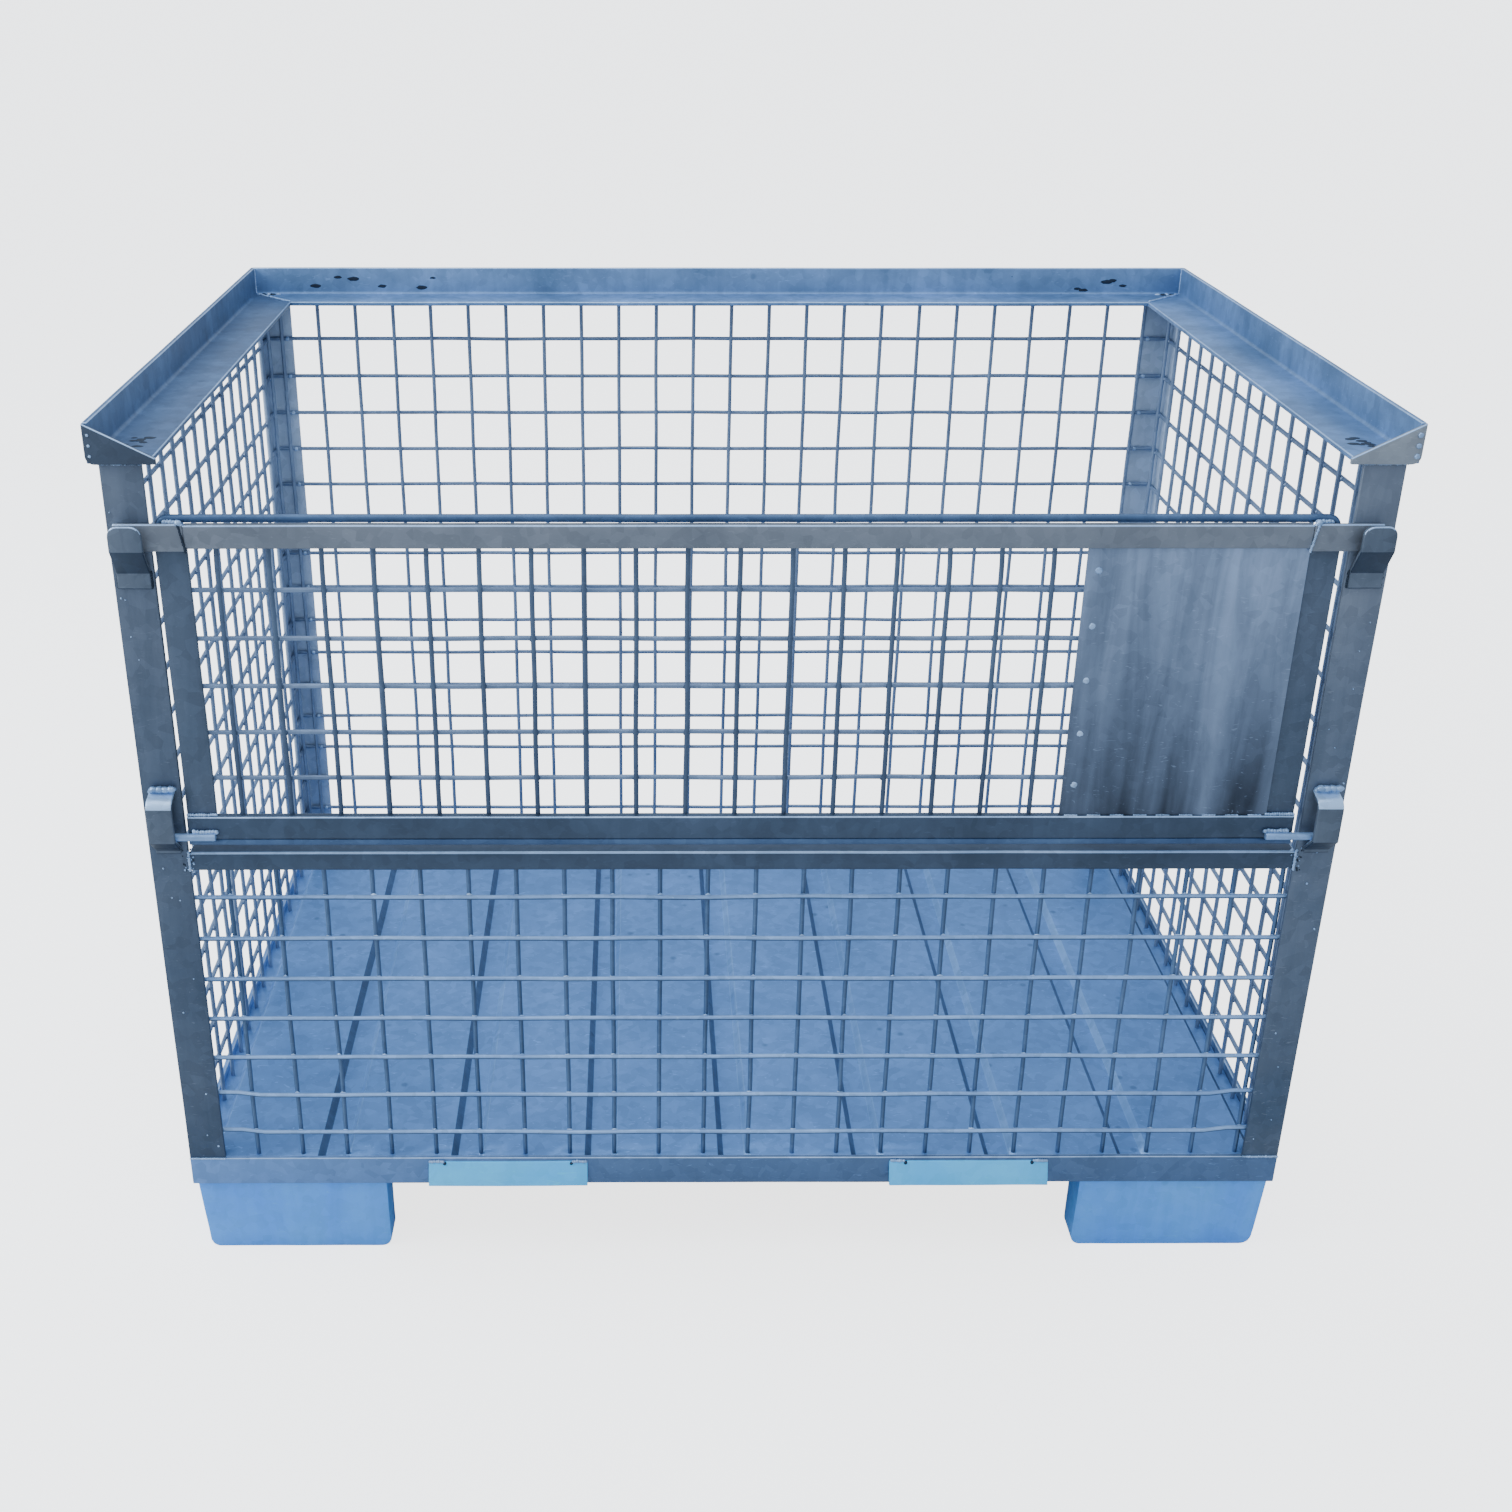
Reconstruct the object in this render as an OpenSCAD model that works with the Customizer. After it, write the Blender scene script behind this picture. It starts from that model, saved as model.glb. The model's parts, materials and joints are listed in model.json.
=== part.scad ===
// Stackable wire mesh box pallet: welded steel frame on four feet, mesh on all sides,
// and an upper front gate that lifts out of two hooks and swings down on two hinge pins.
// Millimetres, +Z up, front at -Y, origin on the ground under the middle of the whole box.

/* [Overall] */
// Width over the corner posts
body_w = 1220; // [1000:2:1300]
// Depth over the corner posts
body_d = 802; // [700:2:1000]
// Height from the ground to the top of the stacking rim
total_h = 970; // [900:1:1100]
// Height of the feet, which is the clearance for the forks
foot_h = 100; // [90:1:130]

/* [Frame sections] */
// Thickness of the angle steel and of the flat bars
steel_t = 5; // [4:0.5:6]
// Leg width of the corner posts
post_leg = 40; // [35:1:50]
// Height of the base rails
base_rail_h = 35; // [32:1:40]
// Width of the leg of a base rail that lies under the floor
base_rail_leg = 50; // [40:1:60]

// Width of the fork guides on the front base rail
guide_w = 178; // [120:1:190]
// Distance of the left fork guide from the middle
guide_in = 165; // [140:1:185]
// How much further out the right fork guide sits
guide_offset = 9; // [0:1:10]

/* [Stacking rim] */
// How far the rim stands out beyond the posts
rim_over = 10; // [8:1:16]
// Width of the flat leg that the next box stands on
rim_seat_w = 60; // [55:1:70]
// Height of the upright leg, measured over the flat leg
rim_lip_h = 39; // [34:1:45]

/* [Floor] */
// Thickness of the floor sheet
floor_t = 2; // [1.5:0.5:3]
// Depth of the pressed grooves in the floor
groove_depth = 8; // [5:1:10]
// Width of a groove at its mouth
groove_w = 36; // [30:1:44]
// Distance from groove to groove
groove_pitch = 150; // [140:1:155]
// Number of whole grooves; half a groove more runs along each side
groove_count = 7; // [5:2:7]

/* [Feet] */
// Width of a foot at its top
foot_w = 213; // [180:1:230]
// Depth of a foot along the side of the box
foot_d = 140; // [100:1:150]
// Thickness of a foot's hollow wall, front to back
foot_wall_w = 44; // [28:1:50]
// Thickness of the sheet that the feet are pressed from
foot_t = 4; // [3:0.5:5]
// How far the front and back of a foot lean inwards from top to bottom
foot_lean = 8; // [4:1:12]
// Radius of a foot's lower corners
foot_r = 12; // [6:1:14]

/* [Mesh] */
// Diameter of the mesh wires
wire_d = 5; // [4:0.5:5]
// Distance from wire to wire
mesh_pitch = 50; // [50:1:55]

/* [Lower front panel] */
// Height of the top of the panel's rail
panel_top = 522; // [510:1:524]
// Height of the rail's upright leg
panel_rail_h = 21; // [18:1:25]

/* [Gate] */
// Lower edge of the gate's bottom rail
gate_low = 541; // [539:1:543]
// Upper edge of the gate's top rail
gate_high = 873; // [870:1:876]
// Half of the width over the gate's side bars
gate_half_w = 563; // [560:1:564]
// Width of the gate's side bars
side_bar_w = 30; // [26:1:34]
// Sideways play taken up by the gate, towards the left post
gate_x = -3; // [-4:0.5:4]
// Height of the top rail's upright leg
gate_top_h = 23; // [20:1:26]
// Height of the bottom rail's upright leg
gate_bottom_h = 25; // [22:1:28]
// Diameter of the round rods along the gate
rod_d = 8; // [7:0.5:8]
// Left edge of the label plate
plate_left = 323; // [300:1:345]

/* [Hinge and hooks] */
// Diameter of a hinge pin
pin_d = 8; // [7:0.5:8]
// Height of the hinge axis
pin_z = 545.5; // [544:0.5:547]
// How far the hinge straps stand out from the posts
strap_out = 23; // [22:0.5:25]
// How far the upper hooks stand out from the posts
hook_out = 21; // [20:0.5:23]
// Top of the upper hooks
hook_top = 876; // [874:1:877]
// Width of the upper hooks
hook_w = 32; // [28:1:34]
// Width of the hinge straps
strap_w = 26; // [22:1:30]
// Length of the gate's lugs and hinge pins
lug_len = 66; // [62:1:67]

/* [Hidden] */
$fn = 48;

// Colours of the galvanised steel: dull rolled sections, bright sheet, drawn wire
SECTION_COLOUR = [0.42, 0.48, 0.56];
SHEET_COLOUR = [0.52, 0.64, 0.80];
WIRE_COLOUR = [0.45, 0.52, 0.62];

// The rim overhangs at the back and the straps at the front, so the posts sit off centre
y_shift = (strap_out - rim_over) / 2;
y_front = y_shift - body_d / 2;
y_back = y_shift + body_d / 2;
half_w = body_w / 2;
rim_x = half_w + rim_over;
rim_y = y_back + rim_over;
rim_z = total_h - rim_lip_h;
base_top = foot_h + base_rail_h;
floor_drop = 2;
floor_top = base_top - floor_drop;
bearer_top = floor_top - groove_depth - floor_t;

// Middle of the hooks and straps, and inner end of the lugs and pins
clip_x = half_w - 21;
lug_in = gate_half_w - side_bar_w + 1;

// Planes of the gate, from front to back
rail_y = y_front - 2 - steel_t;
bar_y = rail_y + steel_t;
wire_y = bar_y + wire_d / 2;
flange_back = bar_y + steel_t;
rod_y = flange_back + rod_d / 2;
rod_z = gate_high + 3;
rod_bend = 8;
pin_y = rail_y - pin_d / 2 - 0.3;

// A box from its low corner to its high corner
module block(low, high) { translate(low) cube(high - low); }

// The same shape on the other side of the box
module mirrored_if(flip) { mirror([flip ? 1 : 0, 0, 0]) children(); }

// Front shapes turned round to the back of the body
module at_rear(rear) {
    translate([0, rear ? 2 * y_shift : 0, 0]) mirror([0, rear ? 1 : 0, 0]) children();
}

// An outline in Y and Z, drawn out along X from x0 to x1
module across(x0, x1) {
    translate([x0, 0, 0]) rotate([90, 0, 90]) linear_extrude(x1 - x0) children();
}

// An outline in X and Z, drawn out along Y from y0 to y1
module along(y0, y1) {
    translate([0, y1, 0]) rotate([90, 0, 0]) linear_extrude(y1 - y0) children();
}

// Points on an arc about a centre
function arc(centre, r, from, to, steps = 6) =
    [for (i = [0:steps]) centre + r * [cos(from + (to - from) * i / steps),
                                       sin(from + (to - from) * i / steps)]];

// Floor sheet with grooves pressed down into it, front to back, and its edges pressed down too
module floor_sheet() {
    edge = half_w - steel_t;
    half_foot = groove_w / 2 - 6;
    outer = groove_pitch * (groove_count + 1) / 2;
    deep = floor_top - groove_depth;
    inner = [for (i = [0:groove_count - 1], p = [[-groove_w / 2, floor_top], [-half_foot, deep],
                                                 [half_foot, deep], [groove_w / 2, floor_top]])
        [groove_pitch * (i + 1) - outer + p[0], p[1]]];
    top = concat([[-edge, deep], [half_foot - outer, deep], [groove_w / 2 - outer, floor_top]],
                 inner, [[outer - groove_w / 2, floor_top], [outer - half_foot, deep], [edge, deep]]);
    under = [for (i = [len(top) - 1:-1:0]) top[i] - [0, floor_t]];
    color(SHEET_COLOUR)
    along(y_front + steel_t, y_back - steel_t) polygon(concat(top, under));
}

// Channel that carries the floor across the box, open below
module bearer(y) {
    edge = half_w - steel_t;
    low = foot_h + steel_t;
    wide = 25;
    wall = 4;
    color(SECTION_COLOUR)
    difference() {
        block([-edge, y - wide, low], [edge, y + wide, bearer_top]);
        block([-edge - 1, y - wide + wall, low - 1], [edge + 1, y + wide - wall, bearer_top - wall]);
    }
}

// Angle steel along the front or the back of the base
module base_rail_cross(rear) {
    color(SECTION_COLOUR)
    at_rear(rear) union() {
        block([-half_w, y_front, foot_h], [half_w, y_front + steel_t, base_top]);
        block([-half_w + steel_t, y_front, foot_h],
              [half_w - steel_t, y_front + base_rail_leg, foot_h + steel_t]);
    }
}

// Angle steel along one side of the base, between the front and rear rails
module base_rail_side(left) {
    color(SECTION_COLOUR)
    mirrored_if(left) union() {
        block([half_w - steel_t, y_front + steel_t, foot_h], [half_w, y_back - steel_t, base_top]);
        block([half_w - base_rail_leg, y_front + base_rail_leg, foot_h],
              [half_w, y_back - base_rail_leg, foot_h + steel_t]);
    }
}

// Solid outline of a foot, an L in plan, taken in by a wall thickness on all sides but the top
module foot_body(wall) {
    outer = half_w - 4 - wall;
    inner = half_w - 4 - foot_w + wall;
    top_front = y_front + 6 + wall;
    top_back = y_front + 6 + foot_d - wall;
    turn = foot_wall_w - 2 * wall;
    low = wall + foot_r;
    intersection() {
        along(top_front, top_back)
            polygon(concat([[inner, foot_h], [outer, foot_h]],
                           arc([outer - foot_r - 4, low], foot_r, 0, -90),
                           arc([inner + foot_r, low], foot_r, -90, -180)));
        across(inner, outer)
            polygon(concat([[top_back, foot_h], [top_front, foot_h]],
                           [[top_front + foot_lean, wall]],
                           arc([top_back - foot_r, low], foot_r, -90, 0)));
        translate([0, 0, wall]) linear_extrude(foot_h)
            polygon([[inner, top_front], [outer, top_front], [outer, top_back],
                     [outer - turn, top_back], [outer - turn, top_front + turn],
                     [inner, top_front + turn]]);
    }
}

// Pressed steel foot, hollow and open at the top, that runs round the corner of the box
module foot(left, rear) {
    color(SHEET_COLOUR)
    mirrored_if(left) at_rear(rear) difference() {
        foot_body(0);
        translate([0, 0, 0.001]) foot_body(foot_t);
        block([0, y_front, foot_h], [half_w, y_front + foot_d + 20, foot_h + 1]);
    }
}

// Corner post of angle steel, standing on the base rails
module post(left, rear) {
    color(SECTION_COLOUR)
    mirrored_if(left) at_rear(rear) union() {
        block([half_w - post_leg, y_front, base_top], [half_w, y_front + steel_t, rim_z]);
        block([half_w - steel_t, y_front, base_top], [half_w, y_front + post_leg, rim_z]);
    }
}

// Outline of the rim's angle steel, with its outer upright face at X = 0 and its body in -X
module rim_section() {
    polygon([[0, 0], [0, rim_lip_h], [-steel_t, rim_lip_h], [-steel_t, steel_t],
             [-rim_seat_w, steel_t], [-rim_seat_w, 0]]);
}

// Side of the stacking rim, mitred at the back
module rim_side(left) {
    color(SECTION_COLOUR)
    mirrored_if(left) difference() {
        translate([rim_x, 0, rim_z]) along(y_front - 2, rim_y) rim_section();
        translate([rim_x, rim_y, rim_z - 1]) linear_extrude(rim_lip_h + 2)
            polygon([[0, 0], [-rim_seat_w - 1, -rim_seat_w - 1], [-rim_seat_w - 1, 1], [1, 1]]);
    }
}

// Back of the stacking rim, mitred at both ends
module rim_rear() {
    reach = rim_seat_w + 1;
    color(SECTION_COLOUR)
    intersection() {
        translate([0, rim_y, rim_z]) across(-rim_x, rim_x) rim_section();
        translate([0, rim_y, rim_z - 1]) linear_extrude(rim_lip_h + 2)
            polygon([[-rim_x, 0], [-rim_x + reach, -reach], [rim_x - reach, -reach], [rim_x, 0]]);
    }
}

// Three-cornered plate that closes the front end of the rim's angle
module rim_end_plate(left) {
    r = 8;
    color(SECTION_COLOUR)
    mirrored_if(left)
    along(y_front - 6, y_front - 2)
        polygon(concat([[rim_x, total_h], [rim_x - rim_seat_w - 5, rim_z + 6],
                        [rim_x - rim_seat_w - 5, rim_z]],
                       arc([rim_x - r, rim_z + r], r, -90, 0)));
}

// One straight wire between two points that differ along one axis only
module wire(from, to) {
    span = to - from;
    turn = span.x != 0 ? [0, 90, 0] : span.y != 0 ? [-90, 0, 0] : [0, 0, 0];
    translate(from) rotate(turn) cylinder(h = norm(span), d = wire_d);
}

// Heights of the long wires of the side and rear meshes, counted down from the rim
mesh_rows = [for (i = [0:14]) rim_z - 51 - i * mesh_pitch];

// Mesh of the back wall: long wires against the posts, upright wires inside them
module mesh_rear() {
    long_y = y_back - steel_t - wire_d / 2;
    upright_y = long_y - wire_d;
    color(WIRE_COLOUR) {
        for (z = mesh_rows) wire([-half_w + 10.5, long_y, z], [half_w - 10.5, long_y, z]);
        for (i = [-12:11]) {
            x = 17.5 + i * mesh_pitch;
            wire([x, upright_y, floor_top], [x, upright_y, rim_z]);
        }
    }
}

// Mesh of one side wall
module mesh_side(left) {
    long_x = half_w - steel_t - wire_d / 2;
    upright_x = long_x - wire_d;
    color(WIRE_COLOUR)
    mirrored_if(left) {
        for (z = mesh_rows)
            wire([long_x, y_front + steel_t + 1, z], [long_x, y_back - steel_t - 1, z]);
        for (i = [-8:7]) {
            y = y_shift + (i + 0.5) * mesh_pitch;
            wire([upright_x, y, floor_top - groove_depth], [upright_x, y, rim_z]);
        }
    }
}

// Mesh of the fixed lower front panel: here the long wires are in front
module mesh_lower_front() {
    long_y = y_front + steel_t + wire_d / 2;
    upright_y = long_y + wire_d;
    color(WIRE_COLOUR) {
        for (i = [0:6]) {
            z = panel_top - 57 - i * mesh_pitch;
            wire([-half_w + 10.5, long_y, z], [half_w - 10.5, long_y, z]);
        }
        for (i = [-11:11]) {
            x = 15 + i * mesh_pitch;
            wire([x, upright_y, floor_top], [x, upright_y, panel_top - steel_t]);
        }
    }
}

// Angle steel along the top of the lower front panel, between the posts
module panel_rail() {
    edge = half_w - post_leg;
    color(SECTION_COLOUR)
    union() {
        block([-edge, y_front, panel_top - panel_rail_h], [edge, y_front + steel_t, panel_top]);
        block([-edge, y_front, panel_top - steel_t], [edge, y_front + 25, panel_top]);
    }
}

// Sloping plate on the front base rail that guides a fork tip underneath
module fork_guide(x0) {
    color(SHEET_COLOUR)
    across(x0, x0 + guide_w)
        polygon([[y_front, base_top - 4], [y_front, base_top - 11], [y_front - 8, base_top - 31],
                 [y_front - 12, base_top - 30], [y_front - 2, base_top - 5]]);
}

// Bent flat hook on a front post, open upwards, that holds the gate's lug
module hook(left) {
    face = y_front - hook_out;
    low = hook_top - 67;
    bend_low = low + 16;
    bend_high = hook_top - 25;
    mitre = 1.4;
    r = 10;
    color(SECTION_COLOUR)
    mirrored_if(left) intersection() {
        across(clip_x - hook_w / 2, clip_x + hook_w / 2)
            polygon([[y_front, low], [y_front, bend_low + mitre],
                     [face + steel_t, bend_high + mitre], [face + steel_t, hook_top],
                     [face, hook_top], [face, bend_high],
                     [y_front - steel_t, bend_low], [y_front - steel_t, low]]);
        along(face - 1, y_front + 1)
            polygon(concat([[clip_x - hook_w / 2, low], [clip_x + hook_w / 2, low]],
                           arc([clip_x + hook_w / 2 - r, hook_top - r], r, 0, 90),
                           arc([clip_x - hook_w / 2 + r, hook_top - r], r, 90, 180)));
    }
}

// Bent flat strap on a front post; the hinge pin turns and slides in the slot behind it
module hinge_strap(left) {
    face = y_front - strap_out;
    top = pin_z + 45;
    bend = pin_z - 1.7;
    foot_z = bend - 17;
    r = 12;
    color(SECTION_COLOUR)
    mirrored_if(left) across(clip_x - strap_w / 2, clip_x + strap_w / 2)
        polygon(concat([[y_front, top + 3], [y_front - 8, top + 1]],
                       arc([face + r, top - r], r, 90, 180),
                       [[face, bend], [y_front - steel_t, foot_z], [y_front - steel_t, foot_z - 4],
                        [y_front, foot_z - 4], [y_front, foot_z + 1.9],
                        [face + steel_t, bend + 1.9]],
                       arc([face + r, top - r], r - steel_t, 180, 90),
                       [[y_front - 8, top - 4], [y_front, top - 2]]));
}

// Round pin at the gate's lower corner; it lies in the strap's slot
module hinge_pin(left) {
    color(SHEET_COLOUR)
    translate([gate_x, 0, 0]) mirrored_if(left)
        translate([lug_in, pin_y, pin_z]) rotate([0, 90, 0]) cylinder(h = lug_len, d = pin_d);
}

// Angle steel along the top of the gate, between the lugs
module gate_top_rail() {
    color(SECTION_COLOUR)
    translate([gate_x, 0, 0]) union() {
        block([-lug_in, rail_y, gate_high - gate_top_h], [lug_in, bar_y, gate_high]);
        block([-lug_in, rail_y, gate_high - steel_t], [lug_in, flange_back, gate_high]);
    }
}

// Angle steel along the bottom of the gate
module gate_bottom_rail() {
    edge = gate_half_w;
    top = gate_low + gate_bottom_h;
    color(SECTION_COLOUR)
    translate([gate_x, 0, 0]) union() {
        block([-edge, rail_y, gate_low], [edge, bar_y, top]);
        block([-edge, rail_y, top - steel_t], [edge, flange_back, top]);
    }
}

// Flat bar up one side of the gate, behind the rails' front faces
module gate_side_bar(left) {
    color(SECTION_COLOUR)
    translate([gate_x, 0, 0]) mirrored_if(left)
        block([gate_half_w - side_bar_w, bar_y, gate_low + gate_bottom_h],
              [gate_half_w, flange_back, gate_high - steel_t]);
}

// Lug at the gate's upper corner, which drops behind the hook on the post
module gate_lug(left) {
    color(SECTION_COLOUR)
    translate([gate_x, 0, 0]) mirrored_if(left)
        block([lug_in, rail_y, gate_high - gate_top_h - 3], [lug_in + lug_len, bar_y, gate_high + 1]);
}

// Round rod along the top of the gate with both ends bent down
module gate_top_rod() {
    leg_x = gate_half_w - rod_d / 2;
    color(WIRE_COLOUR)
    translate([gate_x, rod_y, rod_z]) union() {
        translate([rod_bend - leg_x, 0, 0]) rotate([0, 90, 0])
            cylinder(h = 2 * (leg_x - rod_bend), d = rod_d);
        for (flip = [0, 1]) mirror([flip, 0, 0])
            translate([leg_x - rod_bend, 0, -rod_bend]) rotate([90, 0, 0])
                rotate_extrude(angle = 90) translate([rod_bend, 0]) circle(d = rod_d);
    }
}

// Round rod down one side of the gate, behind the side bar
module gate_side_rod(left) {
    color(WIRE_COLOUR)
    translate([gate_x, 0, 0]) mirrored_if(left)
        translate([gate_half_w - rod_d / 2, rod_y, gate_low + 7])
            cylinder(h = rod_z - rod_bend - gate_low - 7, d = rod_d);
}

// Round rod under the gate's bottom rail
module gate_bottom_rod() {
    color(WIRE_COLOUR)
    translate([gate_x - gate_half_w, bar_y - 1, gate_low - rod_d / 2]) rotate([0, 90, 0])
        cylinder(h = 2 * gate_half_w, d = rod_d);
}

// Mesh of the gate: upright wires in front, long wires behind them
module gate_mesh() {
    long_x = gate_half_w - rod_d;
    first_x = -7;
    color(WIRE_COLOUR)
    translate([gate_x, 0, 0]) {
        for (i = [-10:10]) {
            x = first_x + i * mesh_pitch;
            wire([x, wire_y, gate_low + gate_bottom_h], [x, wire_y, gate_high - steel_t]);
        }
        for (i = [0:4]) {
            z = gate_high - 68 - i * mesh_pitch;
            wire([-long_x, wire_y + wire_d, z], [long_x, wire_y + wire_d, z]);
        }
    }
}

// Sheet for a load label, in front of the mesh at the gate's right end
module label_plate() {
    color(SHEET_COLOUR)
    translate([gate_x, 0, 0])
        block([plate_left, bar_y - 2, gate_low + gate_bottom_h],
              [lug_in, bar_y, gate_high - gate_top_h]);
}

floor_sheet();
bearer(y_front + 150);  // bearer_front
bearer(y_shift);  // bearer_middle
bearer(y_back - 150);  // bearer_rear
base_rail_cross(false);  // base_rail_front
base_rail_cross(true);  // base_rail_rear
base_rail_side(true);  // base_rail_left
base_rail_side(false);  // base_rail_right
foot(true, false);  // foot_front_left
foot(false, false);  // foot_front_right
foot(true, true);  // foot_rear_left
foot(false, true);  // foot_rear_right
post(true, false);  // post_front_left
post(false, false);  // post_front_right
post(true, true);  // post_rear_left
post(false, true);  // post_rear_right
rim_side(true);  // rim_left
rim_side(false);  // rim_right
rim_rear();
rim_end_plate(true);  // rim_end_plate_left
rim_end_plate(false);  // rim_end_plate_right
mesh_rear();
mesh_side(true);  // mesh_left
mesh_side(false);  // mesh_right
mesh_lower_front();
panel_rail();
fork_guide(-guide_w - guide_in);  // fork_guide_left
fork_guide(guide_in + guide_offset);  // fork_guide_right
hook(true);  // hook_left
hook(false);  // hook_right
hinge_strap(true);  // hinge_strap_left
hinge_strap(false);  // hinge_strap_right
hinge_pin(true);  // hinge_pin_left
hinge_pin(false);  // hinge_pin_right
gate_top_rail();
gate_bottom_rail();
gate_side_bar(true);  // gate_side_bar_left
gate_side_bar(false);  // gate_side_bar_right
gate_top_rod();
gate_bottom_rod();
gate_side_rod(true);  // gate_side_rod_left
gate_side_rod(false);  // gate_side_rod_right
gate_lug(true);  // gate_lug_left
gate_lug(false);  // gate_lug_right
gate_mesh();
label_plate();
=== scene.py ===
import json
import math
import random

import bmesh
import bpy
from mathutils import Matrix, Vector, noise

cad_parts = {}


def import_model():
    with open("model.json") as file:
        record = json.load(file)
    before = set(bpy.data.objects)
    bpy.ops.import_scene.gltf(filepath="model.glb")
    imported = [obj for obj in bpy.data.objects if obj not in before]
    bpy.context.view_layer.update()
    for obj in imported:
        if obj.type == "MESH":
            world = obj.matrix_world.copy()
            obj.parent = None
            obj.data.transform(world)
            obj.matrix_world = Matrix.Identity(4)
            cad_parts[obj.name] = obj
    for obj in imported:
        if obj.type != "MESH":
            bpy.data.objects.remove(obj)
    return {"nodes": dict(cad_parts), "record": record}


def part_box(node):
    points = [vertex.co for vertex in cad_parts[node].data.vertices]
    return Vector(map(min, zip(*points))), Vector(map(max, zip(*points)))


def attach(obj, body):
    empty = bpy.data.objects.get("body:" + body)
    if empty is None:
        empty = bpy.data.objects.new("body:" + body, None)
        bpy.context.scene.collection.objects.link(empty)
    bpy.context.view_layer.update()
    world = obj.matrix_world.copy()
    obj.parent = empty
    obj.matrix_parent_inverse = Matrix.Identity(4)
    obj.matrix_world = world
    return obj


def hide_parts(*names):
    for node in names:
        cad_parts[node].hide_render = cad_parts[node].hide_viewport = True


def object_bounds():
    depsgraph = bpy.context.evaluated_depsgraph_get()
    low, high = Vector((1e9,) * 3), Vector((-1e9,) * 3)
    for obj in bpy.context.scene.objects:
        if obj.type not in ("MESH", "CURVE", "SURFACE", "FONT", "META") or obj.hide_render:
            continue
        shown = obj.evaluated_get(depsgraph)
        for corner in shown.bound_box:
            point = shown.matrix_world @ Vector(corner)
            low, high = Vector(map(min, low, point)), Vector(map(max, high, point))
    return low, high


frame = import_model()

NOISE_SEED = 1
noise.seed_set(NOISE_SEED)  # without it, noise_vector differs from run to run

CAD_BOX = [list(corner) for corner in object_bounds()]
BODY = {node: body for body, nodes in frame["record"]["behaviour"]["bodies"].items() for node in nodes}
SIDES = (("left", -1), ("right", 1))


def low(node):
    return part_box(node)[0]


def high(node):
    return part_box(node)[1]


# ---------------------------------------------------------------- materials

def linear(red, green, blue):
    """A display colour from 0 to 255 as the linear colour that a shader takes."""
    def one(value):
        value /= 255
        return value / 12.92 if value <= 0.04045 else ((value + 0.055) / 1.055) ** 2.4
    return (one(red), one(green), one(blue), 1)


def scaled(colour, by):
    return [min(1.0, part * by) for part in colour[:3]] + [1]


class Shader:
    """Short calls for laying out nodes in a material or a node group."""

    def __init__(self, tree):
        self.tree = tree

    def node(self, kind, **values):
        made = self.tree.nodes.new(kind)
        for name, value in values.items():
            setattr(made, name, value)
        return made

    def link(self, source, target):
        self.tree.links.new(source, target)

    def fill(self, socket, value):
        if isinstance(value, bpy.types.NodeSocket):
            self.link(value, socket)
        else:
            socket.default_value = value

    def math(self, operation, a, b=0.0, c=0.0):
        made = self.node("ShaderNodeMath", operation=operation)
        for socket, value in zip(made.inputs, (a, b, c)):
            self.fill(socket, value)
        return made.outputs[0]

    def ramp(self, value, low, high, to_low=0.0, to_high=1.0):
        made = self.node("ShaderNodeMapRange")
        made.clamp = True
        self.fill(made.inputs["Value"], value)
        limits = {"From Min": low, "From Max": high, "To Min": to_low, "To Max": to_high}
        for name, number in limits.items():
            self.fill(made.inputs[name], number)
        return made.outputs["Result"]

    def stretch(self, vector, x, y, z, lean=0.0):
        made = self.node("ShaderNodeMapping")
        self.link(vector, made.inputs["Vector"])
        made.inputs["Rotation"].default_value = (0, lean, 0)
        made.inputs["Scale"].default_value = (x, y, z)
        return made.outputs[0]

    def noise(self, vector, scale, detail=4.0, rough=0.55, warp=0.0):
        made = self.node("ShaderNodeTexNoise")
        self.link(vector, made.inputs["Vector"])
        values = {"Scale": scale, "Detail": detail, "Roughness": rough, "Distortion": warp}
        for name, number in values.items():
            made.inputs[name].default_value = number
        return made.outputs["Fac"]

    def mix(self, factor, a, b, mode="MIX"):
        made = self.node("ShaderNodeMix", data_type="RGBA", blend_type=mode)
        self.fill(made.inputs[0], factor)
        self.fill(made.inputs[6], a)
        self.fill(made.inputs[7], b)
        return made.outputs[2]


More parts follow.
